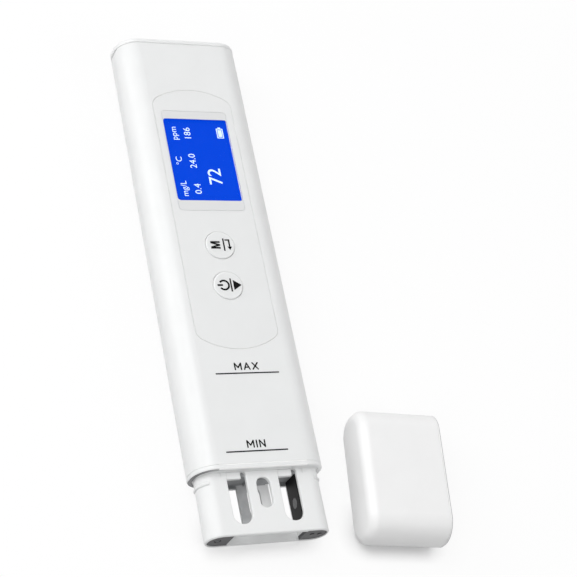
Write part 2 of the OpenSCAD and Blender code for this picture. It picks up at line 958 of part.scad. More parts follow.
module cap_gasket() {
    ring_y = top_y - cap_plug + cap_ring + gasket_w / 2;
    side = gasket_w - 2 * seat_gap;
    outer = plug_gap - run_gap;
    color("dimgray")
        mid_prism(ring_y - side / 2, ring_y + side / 2)
            difference() {
                round_rect(plug_w + 2 * outer, plug_t + 2 * outer, plug_r + outer);
                round_rect(plug_w - 2 * gasket_deep, plug_t - 2 * gasket_deep, plug_r - gasket_deep);
            }
}

// Section of a leg's hollow, on the side given by sx
module leg_section(sx, out_x, g) {
    r = probe_r - probe_wall;
    intersection() {
        round_rect(2 * (out_x - g), chamber_t - 2 * g, r - g);
        translate([sx * (leg_in + g + body_w / 2), 0])
            square([body_w, body_t], center = true);
    }
}

// Section of the recess for a leg plug's flange, open towards the chamber
module flange_section(sx, g) {
    intersection() {
        round_rect(probe_w - 2 * plug_rim - 2 * g, probe_t - 2 * plug_rim - 2 * g, probe_r - plug_rim - g);
        translate([sx * (chamber_w / 2 + g + body_w / 2), 0])
            square([body_w, body_t], center = true);
    }
}

// One long slot with its rounded foot and, beside the tab's place, its rounded notch
module long_slot_shape() {
    translate([0, slot_foot + slot_w / 2])
        circle(slot_w / 2);
    translate([-slot_w / 2, slot_foot + slot_w / 2])
        square([slot_w, probe_len - notch_w / 2 - slot_foot - slot_w / 2]);
    translate([-slot_w / 2, probe_len - tab_h])
        square([tab_w, tab_h]);
    translate([slot_w / 2 - notch_w / 2, probe_len - notch_w / 2])
        circle(notch_w / 2);
}

// Cuts of the front wall: two long slots and the centre window, with rounded outer edges
module wall_cuts() {
    translate([0, tip_y, mid_z + chamber_t / 2 - eps])
        linear_extrude(probe_wall + 2 * eps) {
            for (sx = [-1, 1])
                translate([sx * slot_x, 0])
                    long_slot_shape();
            slot_shape(centre_w, centre_foot, centre_top);
        }
    translate([0, tip_y, mid_z + probe_t / 2]) {
        for (sx = [-1, 1])
            translate([sx * slot_x, 0, 0]) {
                soft_end(slot_w, slot_foot, 180);
                soft_side(slot_w / 2, slot_foot + slot_w / 2, probe_len - notch_w / 2);
                mirror([1, 0, 0])
                    soft_side(slot_w / 2, slot_foot + slot_w / 2, probe_len - tab_h);
            }
        soft_end(centre_w, centre_foot, 180);
        soft_end(centre_w, centre_top - centre_w, 0);
        for (side = [0, 1])
            mirror([side, 0, 0])
                soft_side(centre_w / 2, centre_foot + centre_w / 2, centre_top - centre_w / 2);
    }
}

// What rounding an edge takes away: the edge runs through the origin, its wall lies towards +X and -Y
module edge_cut() {
    difference() {
        translate([-eps, -slot_round])
            square([eps + slot_round, slot_round + eps]);
        translate([slot_round, -slot_round])
            circle(slot_round);
    }
}

// Rounds a slot's straight edge at x, from y0 to y1
module soft_side(x, y0, y1) {
    translate([x, y1, 0])
        rotate([90, 0, 0])
            linear_extrude(y1 - y0)
                edge_cut();
}

// Rounds the half-circle end of a slot of width w whose outline starts at y0
module soft_end(w, y0, turn) {
    translate([0, y0 + w / 2, 0])
        rotate([0, 0, turn])
            rotate_extrude(angle = 180)
                translate([w / 2, 0])
                    edge_cut();
}

// Turns what it is given half a turn about the body's axis, from the front wall to the back wall
module on_back() {
    translate([0, 0, 2 * mid_z])
        rotate([0, 180, 0])
            children();
}

module probe_housing() {
    seat_h = seal_wire + seal_room;
    root = 0.1;
    color("white")
        difference() {
            union() {
                soft_bar(probe_w, probe_t, probe_r, tip_y, rim_y + root, tip_round);
                mid_prism(rim_y, plug_y)
                    round_rect(plug_w, plug_t, plug_r);
                snap_ridges();
            }
            translate([-chamber_w / 2, tip_y - eps, mid_z - chamber_t / 2])
                cube([chamber_w, probe_len + plug_len + 2 * eps, chamber_t]);
            for (sx = [-1, 1]) {
                mid_prism(tip_y - eps, rim_y)
                    leg_section(sx, leg_out, 0);
                mid_prism(rim_y - eps, plug_y + eps)
                    leg_section(sx, neck_out, 0);
                mid_prism(tip_y - eps, tip_y + leg_recess + plug_flange)
                    flange_section(sx, 0);
                translate([sx * (leg_in - probe_wall / 2), (holder_y0 + ceiling_y) / 2, mid_z])
                    cube([probe_wall + 2 * eps, ceiling_y - holder_y0, chamber_t], center = true);
                translate([sx * tick_x, rim_y - tick_len / 2, mid_z + probe_t / 2])
                    cube([tick_w, tick_len, tick_w], center = true);
            }
            wall_cuts();
            on_back()
                wall_cuts();
            mid_prism(seal_y - seat_h / 2, seal_y + seat_h / 2)
                difference() {
                    round_rect(body_w, body_t, body_r);
                    round_rect(plug_w - 2 * seal_deep, plug_t - 2 * seal_deep, plug_r - seal_deep);
                }
        }
}

// Ridges that follow the narrow sides, where the protective cap clicks on
module snap_ridges() {
    grow = ridge_out - ridge_r;
    clear_w = probe_w - 2 * ridge_side;
    intersection() {
        translate([0, rim_y - ridge_drop, mid_z])
            loop_bar(probe_w + 2 * grow, probe_t + 2 * grow, probe_r + grow, ridge_r);
        difference() {
            translate([-body_w, tip_y, 0])
                cube([2 * body_w, probe_len, body_t]);
            translate([-clear_w / 2, tip_y, 0])
                cube([clear_w, probe_len, body_t]);
        }
    }
}

// Block that closes the chamber's top, with a latch tab in the top of every long slot
module probe_core() {
    lug_w = 7;
    lug_h = 5;
    lug_drop = 0.8;
    lug_root = 0.4;
    color("gainsboro")
        difference() {
            union() {
                translate([-chamber_w / 2 + core_gap, ceiling_y, mid_z - chamber_t / 2 + core_gap])
                    cube([chamber_w - 2 * core_gap, plug_y - ceiling_y, chamber_t - 2 * core_gap]);
                mid_prism(plug_y, core_top)
                    round_rect(core_w, core_t, core_r);
                translate([-lug_w / 2, ceiling_y - lug_drop, mid_z - lug_h / 2])
                    cube([lug_w, lug_drop + lug_root, lug_h]);
                latch_tabs();
                on_back()
                    latch_tabs();
            }
            for (sx = [-1, 1])
                translate([sx * frame_screw_x, core_top - screw_grip - 1, frame_screw_z])
                    rotate([-90, 0, 0])
                        cylinder(d = screw_d + 2 * run_gap, h = screw_grip + 2);
        }
}

// Tabs in the wall's thickness, on roots that join them to the block
module latch_tabs() {
    for (sx = [-1, 1])
        translate([sx * slot_x - slot_w / 2 + core_gap, rim_y - core_gap, mid_z + probe_t / 2]) {
            translate([0, core_gap - tab_h, -probe_wall])
                cube([tab_w - 2 * core_gap, tab_h - core_gap, probe_wall]);
            translate([0, core_gap + ceiling_y - rim_y, -tab_t])
                cube([tab_w - 2 * core_gap, rim_y - ceiling_y - core_gap, tab_t]);
        }
}

// Black holder behind the chamber wall on the side given by sx, with its lens pocket and bore
module optic_holder(sx) {
    front_len = leg_in + 2 * seat_gap - holder_face;
    back_len = holder_back - leg_in - seat_gap;
    color("black")
        translate([0, 0, mid_z])
            rotate([0, sx * 90, 0])
                difference() {
                    union() {
                        translate([0, (holder_y0 + ceiling_y) / 2, holder_face + front_len / 2])
                            cube([chamber_t - 2 * seat_gap, ceiling_y - holder_y0 - 2 * seat_gap, front_len],
                                 center = true);
                        translate([0, (holder_y0 + ceiling_y) / 2, holder_back - back_len / 2])
                            cube([holder_w, ceiling_y - holder_y0 + 2 * holder_lap, back_len], center = true);
                    }
                    translate([0, light_y, 0]) {
                        cylinder(d = lens_d + 2 * seat_gap, h = holder_face + lens_t + seat_gap);
                        cylinder(d = beam_d, h = holder_back);
                        translate([0, 0, holder_back - lamp_len])
                            cylinder(d = lamp_d + 2 * run_gap, h = lamp_len + eps);
                    }
                }
}

module lamp_holder() optic_holder(1);

module sensor_holder() optic_holder(-1);

module lens(sx) {
    color([0.75, 0.8, 0.85, 0.7])
        translate([sx * holder_face, light_y, mid_z])
            rotate([0, sx * 90, 0])
                cylinder(d = lens_d, h = lens_t);
}

module lamp_lens() lens(1);

module sensor_lens() lens(-1);

// Round-nosed lamp in the right holder
module uv_lamp() {
    barrel_len = lamp_len - lamp_d / 2 - run_gap;
    color("lavender")
        translate([holder_back, light_y, mid_z])
            rotate([0, -90, 0]) {
                cylinder(d = lamp_d, h = barrel_len);
                translate([0, 0, barrel_len])
                    intersection() {
                        sphere(d = lamp_d);
                        cylinder(d = lamp_d, h = lamp_d);
                    }
            }
}

// Flat-faced can of the light sensor in the left holder
module light_sensor() {
    color("gold")
        translate([-holder_back, light_y, mid_z])
            rotate([0, 90, 0])
                cylinder(d = lamp_d, h = lamp_len - run_gap);
}

// Narrow board in a leg, from beside the optics up to the probe core
module leg_board(sx) {
    foot_y = holder_y0 - 1;
    color("darkgreen")
        translate([sx * (holder_back + sensor_board_t / 2), (foot_y + plug_y) / 2, mid_z])
            cube([sensor_board_t, plug_y - foot_y, sensor_board_w], center = true);
}

module lamp_board() leg_board(1);

module sensor_board() leg_board(-1);

module conductivity_pins() {
    color("black")
        for (x = pin_x)
            translate([x, pin_tip, mid_z])
                rotate([-90, 0, 0])
                    cylinder(d = pin_d, h = pin_end - pin_tip);
}

// Round-nosed metal sleeve of the temperature sensor, in the left leg
module temperature_probe() {
    nose_y = pin_tip + sensor_tip_d / 2;
    color("silver")
        translate([-sensor_tip_x, nose_y, mid_z]) {
            rotate([-90, 0, 0])
                cylinder(d = sensor_tip_d, h = pin_end - nose_y);
            sphere(d = sensor_tip_d);
        }
}

// Dark plug with a flange that closes a leg's underside round its pins
module leg_plug(sx, holes, hole_dia) {
    face_y = tip_y + leg_recess;
    color("dimgray")
        difference() {
            union() {
                mid_prism(face_y, face_y + plug_flange)
                    flange_section(sx, seat_gap);
                mid_prism(face_y + plug_flange / 2, face_y + leg_plug_deep)
                    leg_section(sx, leg_out, seat_gap);
            }
            for (x = holes)
                translate([sx * x, face_y - eps, mid_z])
                    rotate([-90, 0, 0])
                        cylinder(d = hole_dia + 2 * run_gap, h = leg_plug_deep + 2 * eps);
        }
}

module left_leg_plug() leg_plug(-1, [sensor_tip_x], sensor_tip_d);

module right_leg_plug() leg_plug(1, pin_x, pin_d);

module probe_seal() {
    bar_r = seal_wire / 2;
    grow = plug_gap - run_gap - bar_r;
    color("dimgray")
        translate([0, seal_y, mid_z])
            loop_bar(plug_w + 2 * grow, plug_t + 2 * grow, plug_r + grow, bar_r);
}

// The cap as worn on the probe, with its mouth at the sleeve's rim
module worn_cap() {
    end_y = rim_y - lid_len;
    difference() {
        soft_bar(body_w, body_t, body_r, end_y, rim_y, lid_round);
        difference() {
            mid_prism(end_y + lid_end_t, rim_y + eps)
                round_rect(lid_in_w, lid_in_t, lid_in_r);
            grip_ribs();
        }
        translate([0, rim_y - lid_lip, mid_z])
            loop_bar(body_w, body_t, body_r, groove_r);
    }
}

// Ribs on the wide walls inside the cap that guide the probe
module grip_ribs() {
    rib_h = (lid_in_t - probe_t) / 2 - lid_play;
    for (sx = [-1, 1], sz = [-1, 1])
        translate([sx * tick_x, rim_y - (lid_len + rib_lead) / 2, mid_z + sz * (lid_in_t - rib_h) / 2])
            cube([rib_w, lid_len - rib_lead, rib_h], center = true);
}

module protective_cap() {
    middle_y = rim_y - lid_len / 2;
    color("white")
        translate([lid_x, lid_y, 0])
            rotate([0, 0, lid_turn])
                translate([0, -middle_y, 0])
                    worn_cap();
}

body_sleeve();
front_panel();
display_window();
display_glass();
backlight_plate();
display_frame();
display_flex();
mode_button();
power_button();
mode_switch();
power_switch();
mode_plunger();
power_plunger();
main_board();
processor();
board_components();
buzzer();
flex_connector();
sensor_connector();
sensor_leads();
board_screws();
inner_frame();
frame_screws();
left_cell();
right_cell();
spring_contact();
flat_contact();
bridge_contact();
battery_cap();
cap_gasket();
probe_housing();
probe_core();
lamp_holder();
sensor_holder();
uv_lamp();
light_sensor();
lamp_lens();
sensor_lens();
lamp_board();
sensor_board();
conductivity_pins();
temperature_probe();
left_leg_plug();
right_leg_plug();
probe_seal();
protective_cap();
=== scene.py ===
"""Looks of the pen-type water quality tester: finishes, printed marks, lit screen, light and camera."""

import json
import math

import bpy
from mathutils import Matrix, Vector


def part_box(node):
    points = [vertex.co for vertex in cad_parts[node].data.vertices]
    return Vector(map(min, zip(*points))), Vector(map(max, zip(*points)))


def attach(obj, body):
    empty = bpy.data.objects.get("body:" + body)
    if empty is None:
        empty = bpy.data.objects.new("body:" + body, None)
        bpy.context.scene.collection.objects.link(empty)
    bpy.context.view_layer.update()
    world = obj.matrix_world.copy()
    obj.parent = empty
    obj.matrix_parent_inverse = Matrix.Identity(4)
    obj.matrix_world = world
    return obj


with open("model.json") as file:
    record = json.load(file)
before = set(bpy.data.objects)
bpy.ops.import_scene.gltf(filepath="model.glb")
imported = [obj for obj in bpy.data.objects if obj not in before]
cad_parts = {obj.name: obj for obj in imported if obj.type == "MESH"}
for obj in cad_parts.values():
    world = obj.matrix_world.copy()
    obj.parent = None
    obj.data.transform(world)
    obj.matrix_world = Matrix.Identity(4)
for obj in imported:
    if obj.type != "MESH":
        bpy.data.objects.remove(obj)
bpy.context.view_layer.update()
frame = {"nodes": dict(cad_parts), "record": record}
nodes = frame["nodes"]
MM = 0.001

# Heights and places that the marks and the painted light in the grooves follow, in metres
front_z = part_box("body_sleeve")[1][2]
panel_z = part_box("front_panel")[1][2]
screen_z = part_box("display_glass")[1][2]
mode_lo, mode_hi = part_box("mode_button")
power_lo, power_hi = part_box("power_button")

# A printed mark stands this far above its surface and reaches this far below it
PRINT_T = 0.012 * MM
SINK = 0.004 * MM

# The loose cap's turn on the floor in degrees, its length, and the width of the painted shade at its mouth
CAP_TURN = -96
CAP_LEN = 27 * MM
CAP_LIP_SHADE = 0.4 * MM

# The part of the window that the screen shows through, as a rounded rectangle, and the depth of the print round it
SCREEN_OPENING = {"cx": 0, "cy": 30.35 * MM, "half_x": 10.95 * MM, "half_y": 15.2 * MM, "radius": 1.1 * MM}
PRINT_DEPTH = 0.2 * MM

# Painted light in the fine grooves: it fills them between these depths, this close to the middle, and lifts them to
# this grey
GROOVE_TOP, GROOVE_FLOOR = 0.05 * MM, 0.9 * MM
GROOVE_REACH = 14 * MM
GROOVE_LIGHT_GREY = 0.97

# The rim bead's underside is this thick, and the painted shade on it starts at this X and grows to the left over that
# length
BEAD_UNDER = 0.1 * MM
BEAD_SHADE_X, BEAD_SHADE_OVER = -10 * MM, 8 * MM

# The chamber between the probe's legs: half its depth and width, the distance from its mouth to where its painted
# shade and light start, and the length right of the middle over which they change sides
CHAMBER_HALF_DEPTH = 3.7 * MM
CHAMBER_HALF_WIDTH = 11.45 * MM
CHAMBER_LIP = 2 * MM
CHAMBER_BLEND = 2 * MM
EVERYWHERE = 1.0

# Moulded surfaces: grain in repeats per metre, its depth, and the radius of the softened edges
GRAIN = 5200
GRAIN_DEPTH = 0.02 * MM
EDGE = 0.18 * MM


def linear(value):
    """One sRGB channel from 0 to 255 as the linear value that a shader takes."""
    c = value / 255
    return c / 12.92 if c <= 0.04045 else ((c + 0.055) / 1.055) ** 2.4


def rgb(r, g, b):
    """A colour given in sRGB from 0 to 255."""
    return (linear(r), linear(g), linear(b), 1.0)


def grey(level):
    """A linear grey."""
    return (level, level, level, 1.0)


def scaled(colour, factor, lift=0.0):
    """A linear colour made darker or lighter."""
    return tuple(min(1.0, c * factor + lift) for c in colour[:3]) + (1.0,)


WHITE = rgb(233, 234, 234)
BLACK = grey(0.0)
# Painted shade for the inside of the probe's chamber
CHAMBER_SHADE = rgb(172, 174, 176)
SOFT = {"Subsurface Weight": 0.6, "Subsurface Radius": (1.0, 1.0, 1.0), "Subsurface Scale": 0.9 * MM}
GLOSS = {"Coat Weight": 0.12, "Coat Roughness": 0.25}
DULL = {"Specular IOR Level": 0.14}


# Node helpers


class Shader:
    """A material's node tree, with short calls for the nodes that the finishes share."""

    def __init__(self, source):
        """The source is a new material's name, or a material that another function made."""
        self.material = bpy.data.materials.new(source) if isinstance(source, str) else source
        self.material.use_nodes = True
        self.tree = self.material.node_tree
        self.bsdf = self.tree.nodes["Principled BSDF"]
        self.out = self.tree.nodes["Material Output"]
        self.where = self.add("ShaderNodeTexCoord").outputs["Object"]

    def add(self, kind, **values):
        node = self.tree.nodes.new(kind)
        for key, value in values.items():
            setattr(node, key, value)
        return node

    def link(self, source, target):
        self.tree.links.new(source, target)

    def feed(self, name, source):
        """Links a socket to the surface's input of that name."""
        self.link(source, self.bsdf.inputs[name])

    def base_tone(self):
        """The socket that feeds the base colour so far."""
        return self.bsdf.inputs["Base Color"].links[0].from_socket

    def axes(self):
        """Object coordinates as X, Y and Z."""
        split = self.add("ShaderNodeSeparateXYZ")
        self.link(self.where, split.inputs[0])
        return split.outputs

    def math(self, operation, a, b=None, clamp=False):
        node = self.add("ShaderNodeMath", operation=operation, use_clamp=clamp)
        for socket, value in zip(node.inputs, (a, b)):
            if value is None:
                continue
            if isinstance(value, (int, float)):
                socket.default_value = value
            else:
                self.link(value, socket)
        return node.outputs[0]

    def product(self, first, *others):
        """All the factors multiplied."""
        for other in others:
            first = self.math("MULTIPLY", first, other)
        return first

    def rise(self, value, start, length):
        """0 up to the start, then rising to 1 over that length."""
        return self.math("DIVIDE", self.math("SUBTRACT", value, start), length, clamp=True)

    def stretched(self, scale):
        """Object coordinates in metres times scale, one factor for each axis."""
        node = self.add("ShaderNodeMapping")
        node.inputs["Scale"].default_value = scale
        self.link(self.where, node.inputs["Vector"])
        return node.outputs[0]

    def noise(self, per_metre, detail, vector=None, rough=0.5):
        """A cloudy factor with that many repeats per metre."""
        node = self.add("ShaderNodeTexNoise")
        set_values(node, {"Scale": per_metre, "Detail": detail, "Roughness": rough})
        self.link(vector or self.where, node.inputs["Vector"])
        return node.outputs["Fac"]

    def bricks(self, length, height, gap, colours, offset):
        """Rows of bricks in metres, in two colours and that of the gap."""
        node = self.add("ShaderNodeTexBrick", offset=offset)
        set_values(node, {"Scale": 1.0, "Brick Width": length, "Row Height": height, "Mortar Size": gap})
        set_values(node, dict(zip(("Color1", "Color2", "Mortar"), colours)))
        self.link(self.where, node.inputs["Vector"])
        return node.outputs

    def ramp(self, fac, stops, stepped=False):
        """A colour by factor, from stops of (factor, colour)."""
        node = self.add("ShaderNodeValToRGB")
        band = node.color_ramp
        while len(band.elements) < len(stops):
            band.elements.new(0.5)
        for element, (at, colour) in zip(band.elements, stops):
            element.position = at
            element.color = colour
        if stepped:
            band.interpolation = "CONSTANT"
        self.link(fac, node.inputs["Fac"])
        return node.outputs["Color"]

    def spread(self, fac, low, high):
        """A factor from 0 to 1 carried to the range from low to high."""
        node = self.add("ShaderNodeMapRange")
        set_values(node, {"To Min": low, "To Max": high})
        self.link(fac, node.inputs["Value"])
        return node.outputs["Result"]

    def mix(self, fac, a, b):
        node = self.add("ShaderNodeMix", data_type="RGBA")
        for socket, value in zip((node.inputs[0], node.inputs[6], node.inputs[7]), (fac, a, b)):
            if isinstance(value, (int, float, tuple)):
                socket.default_value = value
            else:
                self.link(value, socket)
        return node.outputs[2]

    def relief(self, height, strength, depth, edge):
        """Bump of that depth in metres, over edges rounded to that radius."""
        node = self.add("ShaderNodeBump")
        set_values(node, {"Strength": strength, "Distance": depth})
        self.link(height, node.inputs["Height"])
        bevel = self.add("ShaderNodeBevel", samples=4)
        bevel.inputs["Radius"].default_value = edge
        self.link(bevel.outputs[0], node.inputs["Normal"])
        self.feed("Normal", node.outputs[0])


def set_values(node, values):
    for key, value in values.items():
        node.inputs[key].default_value = value


def inside_rect(s, cx, cy, half_x, half_y, radius, soft=0.12 * MM):
    """1 inside a rounded rectangle in X and Y, 0 outside, from object coordinates."""
    axes = s.axes()
    squares = []
    for axis, (centre, half) in enumerate(((cx, half_x), (cy, half_y))):
        away = s.math("ABSOLUTE", s.math("SUBTRACT", axes[axis], centre))
        past = s.math("MAXIMUM", s.math("SUBTRACT", away, half - radius), 0.0)
        squares.append(s.math("MULTIPLY", past, past))
    reach = s.math("SQRT", s.math("ADD", *squares))
    left = s.math("SUBTRACT", radius, reach)
    return s.math("ADD", s.math("DIVIDE", left, soft), 0.5, clamp=True)


# Finishes


def moulded(name, colour, rough, grain=GRAIN, depth=GRAIN_DEPTH, shade=0.035, **values):
    """Moulded plastic or rubber: fine grain, a faint cloudiness in colour and gloss, softened edges."""
    s = Shader(name)
    cloud = s.noise(110, detail=3)
    fine = s.noise(grain, detail=3, rough=0.6)
    darker, lighter = scaled(colour, 1 - shade), scaled(colour, 1 + shade * 0.6)
    s.feed("Base Color", s.ramp(cloud, [(0.3, darker), (0.7, lighter)]))
    mixed = s.math("ADD", s.math("MULTIPLY", cloud, 0.5), s.math("MULTIPLY", fine, 0.5))
    s.feed("Roughness", s.spread(mixed, rough - 0.05, rough + 0.06))
    s.relief(fine, strength=0.25, depth=depth, edge=EDGE)
    set_values(s.bsdf, values)
    return s.material


def metal(name, colour, rough):
    """Drawn or turned metal with fine lines along Y."""
    s = Shader(name)
    lines = s.noise(4, detail=4, vector=s.stretched((900, 40, 900)), rough=0.7)
    worn = s.math("MULTIPLY", lines, s.noise(350, detail=2))
    s.feed("Base Color", s.ramp(worn, [(0.15, scaled(colour, 0.82)), (0.4, colour)]))
    s.feed("Roughness", s.spread(lines, rough - 0.07, rough + 0.1))
    s.relief(lines, strength=0.2, depth=0.012 * MM, edge=0.1 * MM)
    set_values(s.bsdf, {"Metallic": 1.0})
    return s.material


def clear_material(name, tint, rough):
    """Clear moulded part that lets light through."""
    s = Shader(name)
    wave = s.noise(900, detail=2)
    s.feed("Base Color", s.ramp(wave, [(0.3, tint), (0.7, scaled(tint, 1.06))]))
    s.feed("Roughness", s.spread(wave, rough, rough + 0.06))
    set_values(s.bsdf, {"Transmission Weight": 0.7, "IOR": 1.45})
    return s.material


def ink(name, colour, rough=0.5, glow=0.0):
    """Printed mark: slightly uneven pad-printed ink, or a lit part of the screen."""
    s = Shader(name)
    patch = s.noise(2600, detail=3)
    tone = s.ramp(patch, [(0.35, colour), (0.75, scaled(colour, 1.25, 0.004))])
    s.feed("Base Color", tone)
    s.feed("Roughness", s.spread(patch, rough - 0.05, rough + 0.1))
    if glow:
        s.feed("Emission Color", tone)
    set_values(s.bsdf, {"Emission Strength": glow, "Specular IOR Level": 0.12})
    return s.material


def window_material():
    """Clear window with a pale grey border printed on its outer face, round the screen."""
    s = Shader("window_border")
    cloud = s.noise(300, detail=1)
    border = s.ramp(cloud, [(0.2, rgb(221.5, 222.5, 223)), (0.8, rgb(222.5, 223.5, 224))])
    below_print = s.math("LESS_THAN", s.axes()[2], panel_z - PRINT_DEPTH)
    clear = s.math("MAXIMUM", inside_rect(s, **SCREEN_OPENING), below_print)
    s.feed("Base Color", s.mix(clear, border, rgb(0, 40, 150)))
    s.feed("Alpha", s.spread(clear, 1.0, 0.03))
    s.feed("Roughness", s.spread(cloud, 0.27, 0.29))
    s.relief(cloud, strength=0.02, depth=0.004 * MM, edge=0.12 * MM)
    set_values(s.bsdf, {"Specular IOR Level": 0.25})
    return s.material


def screen_material():
    """Lit blue screen with its fine dot rows."""
    s = Shader("screen_blue")
    dot = 0.16 * MM
    blues = (rgb(0, 73, 227), rgb(0, 70, 225), rgb(0, 63, 212))
    dots = s.bricks(dot, dot, gap=0.01 * MM, colours=blues, offset=0.0)
    cloud = s.noise(60, detail=1)
    blue = s.mix(s.math("MULTIPLY", cloud, 0.2), dots["Color"], rgb(0, 79, 233))
    s.feed("Base Color", s.mix(0.8, blue, BLACK))
    s.feed("Emission Color", blue)
    s.feed("Roughness", s.spread(cloud, 0.3, 0.4))
    set_values(s.bsdf, {"Emission Strength": 0.86, "Specular IOR Level": 0.06})
    return s.material


def board_material():
    """Green solder mask over straight tracks, with pale pads."""
    s = Shader("board_green")
    tracks = s.bricks(6.2 * MM, 1.1 * MM, gap=0.11 * MM, colours=(BLACK, BLACK, grey(1.0)), offset=0.35)
    pads = s.add("ShaderNodeTexVoronoi")
    set_values(pads, {"Scale": 260.0})
    s.link(s.where, pads.inputs["Vector"])
    pad = s.math("LESS_THAN", pads.outputs["Distance"], 0.12)
    green = s.mix(tracks["Color"], rgb(18, 96, 48), rgb(40, 130, 70))
    s.feed("Base Color", s.mix(pad, green, rgb(205, 205, 195)))
    s.feed("Roughness", s.spread(s.noise(800, detail=2), 0.25, 0.4))
    s.relief(tracks["Fac"], strength=0.4, depth=0.03 * MM, edge=0.1 * MM)
    return s.material


def cell_material():
    """Cell label in plain green with a pale band near its plus end, over a steel can."""
    s = Shader("cell_label")
    lo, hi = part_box("left_cell")
    along = s.math("DIVIDE", s.math("SUBTRACT", s.axes()[1], lo[1]), hi[1] - lo[1])
    bands = [
        (0.0, rgb(196, 198, 200)),
        (0.03, rgb(36, 84, 62)),
        (0.72, rgb(40, 92, 68)),
        (0.725, rgb(214, 204, 150)),
        (0.95, rgb(218, 208, 155)),
        (0.97, rgb(198, 200, 202)),
    ]
    s.feed("Base Color", s.ramp(along, bands, stepped=True))
    scuff = s.noise(700, detail=4)
    s.feed("Roughness", s.spread(scuff, 0.26, 0.42))
    s.relief(scuff, strength=0.15, depth=0.02 * MM, edge=0.2 * MM)
    set_values(s.bsdf, {"Metallic": 0.35})
    return s.material


def painted_groove_light(s, level, glow):
    """Painted light in the fine grooves below that height: near white with a trace of glow, as if light filled them."""
    axes = s.axes()
    below = s.math("LESS_THAN", axes[2], level - GROOVE_TOP)
    near = s.math("GREATER_THAN", axes[2], level - GROOVE_FLOOR)
    middle = s.math("LESS_THAN", s.math("ABSOLUTE", axes[0]), GROOVE_REACH)
    mask = s.product(below, near, middle)
    s.feed("Base Color", s.mix(mask, s.base_tone(), grey(GROOVE_LIGHT_GREY)))
    s.feed("Emission Color", s.mix(mask, BLACK, grey(glow)))
    set_values(s.bsdf, {"Emission Strength": 1.0})


def sleeve_material():
    """Shell white, with painted shade on the underside of the rim bead towards its left end, and painted light in the
    fine grooves.
    """
    s = Shader(moulded("sleeve_white", WHITE, 0.36, shade=0.012, **GLOSS, **SOFT))
    axes = s.axes()
    low_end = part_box("body_sleeve")[0][1]
    under = s.math("LESS_THAN", axes[1], low_end + BEAD_UNDER)
    left = s.math("DIVIDE", s.math("SUBTRACT", BEAD_SHADE_X, axes[0]), BEAD_SHADE_OVER, clamp=True)
    shaded = s.math("MULTIPLY", under, left)
    # Painted shade: darker grey under the bead's left end
    s.feed("Base Color", s.mix(shaded, s.base_tone(), rgb(112, 113, 115)))
    painted_groove_light(s, front_z, glow=0.055)
    return s.material


def panel_material():
    """Plastic of the panel and the buttons, with painted light in its fine grooves."""
    s = Shader(moulded("panel_white", rgb(231, 232, 232), 0.4, shade=0.01, **SOFT))
    painted_groove_light(s, panel_z, glow=0.045)
    return s.material


def cap_material():
    """The loose cap's plastic, with a thin band of painted shade at the lip of its mouth."""
    s = Shader(moulded("cap_white", rgb(241, 241, 241), 0.36, shade=0.012, **GLOSS))
    lo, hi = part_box("protective_cap")
    turn = math.radians(CAP_TURN)
    way = (-math.sin(turn), math.cos(turn), 0)
    along = s.add("ShaderNodeVectorMath", operation="DOT_PRODUCT")
    s.link(s.where, along.inputs[0])
    along.inputs[1].default_value = way
    mouth = way[0] * (lo[0] + hi[0]) / 2 + way[1] * (lo[1] + hi[1]) / 2 + CAP_LEN / 2
    lip_shade = s.math("GREATER_THAN", along.outputs["Value"], mouth - CAP_LIP_SHADE)
    # Painted shade in a thin band at the mouth
    s.feed("Base Color", s.mix(lip_shade, s.base_tone(), rgb(188, 189, 190)))
    return s.material


def chamber_material(name, reach_x, fade=0.001 * MM, right=1.0, glow=(0.0, 0.0)):
    """Housing plastic, and painted shade inside the chamber that starts at its mouth.

    It reaches that far to both sides, fades in over that length, and keeps that share right of the middle.
    The glow is painted light that stands for light coming through the plastic, left and right of the middle.
    """
    s = Shader(name)
    axes = s.axes()
    lo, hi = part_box("probe_housing")
    away = s.math("ABSOLUTE", s.math("SUBTRACT", axes[2], (lo[2] + hi[2]) / 2))
    within = s.product(
        s.math("LESS_THAN", away, CHAMBER_HALF_DEPTH),
        s.math("LESS_THAN", s.math("ABSOLUTE", axes[0]), reach_x),
        s.rise(axes[1], lo[1] + CHAMBER_LIP, fade),
    )
    side = s.math("DIVIDE", axes[0], CHAMBER_BLEND, clamp=True)
    painted_glow = s.math("MULTIPLY", within, s.spread(side, *glow))
    shade_share = s.math("MULTIPLY", within, s.spread(side, 1.0, right))
    cloud = s.noise(420, detail=3)
    # Painted shade, a little uneven
    inner = s.ramp(cloud, [(0.3, scaled(CHAMBER_SHADE, 0.75)), (0.7, CHAMBER_SHADE)])
    s.feed("Base Color", s.mix(shade_share, WHITE, inner))
    s.feed("Emission Color", s.mix(painted_glow, BLACK, grey(1.0)))
    set_values(s.bsdf, {"Emission Strength": 1.0})
    fine = s.noise(GRAIN, detail=3, rough=0.6)
    s.feed("Roughness", s.spread(fine, 0.38, 0.5))
    s.relief(fine, strength=0.25, depth=GRAIN_DEPTH, edge=EDGE)
    return s.material


